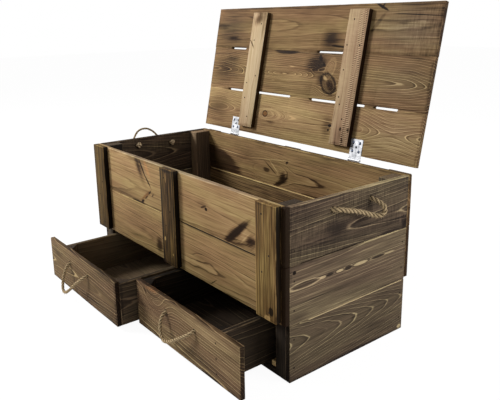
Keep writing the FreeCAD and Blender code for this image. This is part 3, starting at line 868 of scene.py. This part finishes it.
def uneven_edge(made, node, side, spans):
    """Draws one long edge of a plank back where its seam is open, and out to
    its neighbour everywhere else. Side is -1 for the front edge, 1 for the rear."""
    edge = level_box(node)[0 if side < 0 else 1].y
    touching = 0.1 * mm
    for start, stop in spans:
        for x in (start, start + seam_turn, stop - seam_turn, stop):
            bpy.ops.mesh.select_all(action="SELECT")
            bpy.ops.mesh.bisect(plane_co=(x * mm, 0, 0), plane_no=(1, 0, 0))
    for move, is_open in ((-seam_open, True), (seam_closed, False)):
        bpy.ops.mesh.select_all(action="DESELECT")
        bpy.ops.object.mode_set(mode="OBJECT")
        for vertex in made.data.vertices:
            inside = any(start + 1 < vertex.co.x / mm < stop - 1 for start, stop in spans)
            vertex.select = abs(vertex.co.y - edge) < touching and inside == is_open
        bpy.ops.object.mode_set(mode="EDIT")
        bpy.ops.transform.translate(value=(0, side * move, 0))


def place_lid_board(node, slot, order, tones, seed, seams=(), holes=(), wear=0.12, **looks):
    """A finished board of the lid, made level and then leant back. Seams lists
    its uneven edges: which one, and the open places along it."""
    made = place_board(node, slot, order, tones, seed, "lid", level_box(node), leaning=True, wear=wear,
                       bow=lambda board: [uneven_edge(board, node, *seam) for seam in seams], **looks)
    bore(made, holes, spare_hole, Vector((0, 0, 1)), depth=8 * mm)
    made.data.transform(lean_back)


lid_plank = partial(place_lid_board, slot="lid_planks", order="XYZ", tones=lid_tones)
rear_low, rear_high = level_box("lid_plank_rear")
lid_plank(
    "lid_plank_rear", seed=70, level=0.60,
    holes=[(x, rear_high.y / mm - spare_hole_back, rear_low.z / mm) for x in hinge_places],
    seams=[(-1, rear_seam)], rings=7, heart=(-4, -22), taper=0.03, waver=2, lines=0.6, figures=[
        figure(-152, -4, 124, 25, eye=2.2, rough=0.1), swirl(398, -14, 60, 60),
        figure(-138, -4, 66, 19, rough=0.3, rim=-0.14), figure(-146, -4, 38, 14, rough=0.3, rim=-0.14),
        figure(-152, -4, 19, 15, eye=1.3, dark=-0.12, rough=0.2, soft=0.8),
        figure(-152, -4, 13, 11, dark=0.2, rough=0.3, soft=0.6, rim=0.5, tint=(0.85, 0.66, 0.5)),
        # painted shade over the left of the plank, and painted light over its middle
        smear(0, -14, 170, 50, dark=-0.14), smear(-440, 0, 100, 70, dark=0.17),
        smear(-118, 22, 30, 10, dark=0.2), swirl(-420, -4, 60, 50, push=-14),
        smear(300, 30, 90, 14, dark=0.1),
        # a painted bluish sheen over the right of the plank
        figure(420, 0, 190, 100, tint=(1.03, 1.06, 1.2), rough=0.7, soft=-0.1),
        figure(164, 0, 7, 5, dark=0.6), figure(160, 14, 4, 4, dark=0.5), smear(150, 10, 26, 50, dark=0.2)])
lid_plank(
    "lid_plank_middle", seed=71, level=0.51, seams=[(1, rear_seam), (-1, front_seam)], rings=6,
    heart=(4, -18), taper=0.04, waver=2.5, lines=0.6, figures=[
        # painted shade over the left of the plank, and painted light near its middle
        smear(-420, 0, 110, 80, dark=0.2), smear(-20, 10, 120, 40, dark=-0.1),
        # a painted bluish sheen over the right of the plank
        figure(420, 0, 190, 100, tint=(0.93, 0.98, 1.14), rough=0.7, soft=-0.1),
        figure(129, 22, 38, 27, 42, part=0.8, eye=2, dark=0.14, rough=0.5, soft=0.7, rim=0.32),
        figure(139, 29, 23, 14, 46, tint=(0.86, 0.74, 0.62), dark=0.22, rough=0.5, soft=0.4),
        figure(111, 5, 15, 6, 30, dark=-0.3, rough=0.7, soft=0.3),
        figure(127, -24, 36, 19, -66, eye=1.5, dark=-0.08, rough=0.5, soft=0.3, rim=-0.12),
        swirl(-90, 2, 110, 12, push=50), swirl(-300, 12, 70, 45, push=8),
        smear(60, -36, 56, 40, -15, dark=0.4), smear(88, -36, 28, 24, dark=0.2),
        smear(90, 10, 20, 30, dark=0.22), figure(80, -56, 11, 8, 50, dark=0.55, rough=1.3, soft=0.1),
        figure(98, -37, 9, 6, 40, dark=0.45, rough=1.3, soft=0.1),
        figure(-84, -76, 66, 14, dark=0.34, rough=0.5, soft=0.6), smear(-380, -40, 50, 12, dark=0.15),
        swirl(522, 0, 44, 42, push=13)])
lid_plank(
    "lid_plank_front", seed=72, level=0.51, saw=0.4, saw_from=262, seams=[(1, front_seam)], rings=9,
    heart=(-10, -70), taper=0.02, lines=-0.2, figures=[
        smear(112, 34, 52, 42, dark=0.36), smear(-390, 38, 50, 12, dark=0.26),
        # painted shade, a little bluish, over the left of the plank
        figure(-410, 0, 130, 90, tint=(0.92, 0.98, 1.1), dark=0.16, rough=0.7, soft=-0.1),
        # a painted bluish sheen over the right of the plank
        figure(420, 0, 200, 100, tint=(0.94, 1.05, 1.36), rough=0.7, soft=-0.1),
        figure(150, 56, 30, 3, 4, dark=0.35, rough=0.8), sliver(297, -62, 28, 4, 25),
        sliver(300, -66, 12, 3, -60, dark=0.3), sliver(425, -38, 84, 1.6, 3),
        figure(288, -14, 46, 8, -52, dark=0.14, soft=0.4), smear(-270, -40, 60, 30, dark=0.1),
        smear(0, 60, 200, 10, dark=-0.1)])
# sides darkens the lid battens' sides strongly, as painted shade
place_lid_board(
    "lid_batten_left", "lid_batten_pale", "YXZ", pale_tones, 73, lines=-0.15, level=0.56, sides=0.9,
    wear=0.15, figures=[
        smear(-182, 0, 26, 40, 30, dark=0.42), figure(-96, -26, 20, 2.5, 45, dark=0.3, rough=0.6),
        figure(-88, -20, 16, 2, 40, dark=0.25, rough=0.6), smear(-150, 26, 60, 10, dark=0.2)])
place_lid_board(
    "lid_batten_right", "lid_batten_tan", "YXZ", tan_tones, 74, lines=-0.15, level=0.60, saw=0.2, sides=0.8,
    kerfs=(5, 36, 6.5, 0.3), wear=0.15, figures=[
        smear(175, 0, 50, 40, dark=0.16), figure(156, 1, 7, 5, dark=0.5, rough=1, soft=0.2),
        figure(156, 31, 7, 6, dark=0.45, rough=1, soft=0.2), figure(190, 14, 8, 4, 20, dark=0.3, rough=1)])

# The nails: steel wire nails, driven nearly flush through one board into the
# next. Their flat heads have gone dark.
nail_head = 2.6 * mm         # radius
nail_long = 2 * mm           # only what is next to the head
nail_proud = 0.4 * mm
nail_edge = 0.5 * mm         # rounded off
end_outside = 500            # how far the ends' faces are from the middle, and the battens'
batten_outside = 248.5
dark_steel = old_dark("dark_steel", stain(20, 17, 15), stain(64, 54, 44))


def nail_heads(name, body, slot, places, way):
    """The heads of one row of nails, driven against the way that they look."""
    bpy.ops.object.select_all(action="DESELECT")
    bpy.ops.mesh.primitive_cylinder_add(vertices=12, radius=nail_head, depth=nail_long)
    head = bpy.context.object
    bpy.ops.object.mode_set(mode="EDIT")
    bpy.ops.mesh.select_all(action="SELECT")
    bpy.ops.mesh.bevel(offset=nail_edge, segments=2)
    bpy.ops.object.mode_set(mode="OBJECT")
    turned = way.to_track_quat("Z", "Y").to_matrix().to_4x4()
    copies = []
    for place in places:
        copy = add_object(name, head.data.copy())
        copy.data.transform(Matrix.Translation(place + way * (nail_proud - nail_long / 2)) @ turned)
        copies.append(copy)
    bpy.data.objects.remove(head)
    for copy in copies:
        copy.select_set(True)
    bpy.context.view_layer.objects.active = copies[0]
    bpy.ops.object.join()
    made = bpy.context.object
    made.name = made.data.name = name
    made.data.materials.append(dark_steel)
    bpy.ops.object.shade_smooth_by_angle(angle=sharp)
    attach(made, body)


for side, hand in ((-1, "left"), (1, "right")):
    nail_heads("nails_end_" + hand, "case", "end_planks",
               [Vector((side * end_outside, y, z)) * mm for z in (38, 115, 192, 268, 345, 418)
                for y in (-203, 203)], Vector((side, 0, 0)))
for side, face in ((-1, "front"), (1, "back")):
    nail_heads("nails_" + face, "case", face + "_battens",
               [Vector((x + aside, side * batten_outside, z)) * mm for x in (-448, 3.6, 448)
                for z, aside in ((186, 12), (284, -14), (332, 12), (430, -14))], Vector((0, side, 0)))
for side, drawer in ((-1, "drawer_left"), (1, "drawer_right")):
    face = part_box(drawer + "_front")[0].y
    nail_heads("nails_" + drawer, drawer, "drawer_fronts",
               [Vector((side * x * mm, face, z * mm)) for x in (15, 401) for z in (38, 80, 122)],
               Vector((0, -1, 0)))
# how far each nail of the lid is from its middle, and from its rear edge
lid_nails = [(-229, 57), (-257, 123), (-257, 177), (-214, 205), (-250, 330), (-222, 388), (199, 323),
             (249, 323), (201, 248), (199, 165), (207, 143), (226, 100), (226, 70), (256, 70), (212, 400)]
batten_face = level_box("lid_batten_left")[0].z
nail_heads("nails_lid", "lid", "lid_batten_tan",
           [lean_back @ Vector((x * mm, rear_high.y - s * mm, batten_face)) for x, s in lid_nails],
           lean_back.to_3x3() @ Vector((0, 0, -1)))

# The hinges and their screws, of bright zinc-plated steel. Painted shade
# darkens the leaves on the lid round the screws, and in the hole that has none.
leaf_middle = (hinge_places[1] + hinge_places[0]) / 2 * mm      # halfway between the two leaves
leaf_off = (hinge_places[1] - hinge_places[0]) / 2 * mm         # and each leaf's middle from there
leaf_screws = 38.7 * mm      # from the hinge line to the spare hole, amid the screws
screw_aside = 12.5 * mm
screw_back = 13 * mm


def zinc(name, dull, bright, dirt=0):
    """Zinc plate: crystals of slightly different grey, and a cloudy shine."""
    finish = Finish(name, roughness=0.4)
    finish.feed(finish.shader.inputs["Metallic"], 0.7)
    place = finish.node("TexCoord", result=3)
    spangle = finish.node("TexVoronoi", place, None, 260, result=1)
    grey = finish.node("SeparateXYZ", spangle)
    smears = finish.noise(place, 3, 0.6, scale=60)
    tone = grey * 0.2 + smears * 0.9
    # painted shade round the screws of a leaf on the lid, and black in its spare hole
    if dirt:
        level = finish.vector("SUBTRACT", levelled(finish, place),
                              (leaf_middle, hinge_line.y - leaf_screws, 0))
        aside, back = finish.split(level, "XY")
        aside = abs(aside) - leaf_off
        hole = finish.vector("LENGTH", finish.node("CombineXYZ", aside, back, 0))
        screw = finish.node("CombineXYZ", abs(aside) - screw_aside, abs(back) - screw_back, 0)
        tone -= finish.fade(finish.vector("LENGTH", screw), 3.8 * mm, 5.2 * mm, dirt, 0)
        tone -= finish.fade(hole, 3 * mm, 3.8 * mm, 2, 0)
    finish.relief(smears, 0.15 * mm)
    black = (0.003, 0.003, 0.004, 1)
    colour = finish.ramp(tone, [(0, black), (0.25, dull), (0.75, bright)])
    return finish.done(colour, finish.fade(smears, 0.3, 0.7, 0.3, 0.5))


bright_zinc = zinc("bright_zinc", stain(146, 149, 154), stain(218, 219, 222), dirt=0.7)
# The screws are drawn much darker than the leaves, as painted shade on their domes.
screw_zinc = zinc("screw_zinc", stain(30, 36, 50), stain(120, 130, 152))
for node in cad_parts:
    if node.startswith("hinge_"):
        coat(node, screw_zinc if node.endswith("screws") else bright_zinc)

# The studio: a wide pale floor, a bright even surround, a large soft lamp high
# in front, to the left, and a weaker one behind, to the right.
floor_span = 30
surround = 0.3
lamps = {"key": (Vector((-2.6, -2.5, 2.6)), 1.2, 165),        # place, size and power
         "side": (Vector((3, 1.3, 1.7)), 1.6, 60)}
lamp_target = Vector((0, 0, 0.35))


def pale_floor():
    """A white floor that keeps a light shadow."""
    finish = Finish("pale_floor", roughness=0.9, specular=0.1)
    finish.done((0.85, 0.85, 0.85, 1))
    share = finish.node("LightPath", result="Is Camera Ray") * 0.88
    glow = finish.node("Emission", None, 1.08)
    surface = finish.node("MixShader", share, Signal(finish, finish.shader.outputs[0]), glow)
    finish.feed(finish.tree.nodes["Material Output"].inputs["Surface"], surface)
    return finish.material


bpy.ops.object.select_all(action="DESELECT")
bpy.ops.mesh.primitive_plane_add(size=floor_span, location=(0, 0, 0))
floor = bpy.context.object
floor.name = "floor"
floor.data.materials.append(pale_floor())
floor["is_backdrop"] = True

for name, (place, size, power) in lamps.items():
    lamp_data = bpy.data.lights.new(name, "AREA")
    lamp_data.size = size
    lamp_data.energy = power
    lamp = add_object(name, lamp_data)
    lamp.location = place
    lamp.rotation_mode = "QUATERNION"
    lamp.rotation_quaternion = (lamp_target - place).to_track_quat("-Z", "Y")

world = bpy.data.worlds.new("surround")
bpy.context.scene.world = world
nodes = Nodes(world)
seen = 0
for rays in ("Is Camera Ray", "Is Transmission Ray", "Is Glossy Ray"):
    seen = nodes.math("MAXIMUM", seen, nodes.node("LightPath", result=rays))
sky = nodes.tree.nodes["Background"]
nodes.feed(sky.inputs["Color"], (1, 1, 1, 1))
nodes.feed(sky.inputs["Strength"], nodes.node("MapRange", seen, 0, 1, surround, 1))

bpy.context.scene.view_settings.view_transform = "Standard"

shown_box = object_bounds()
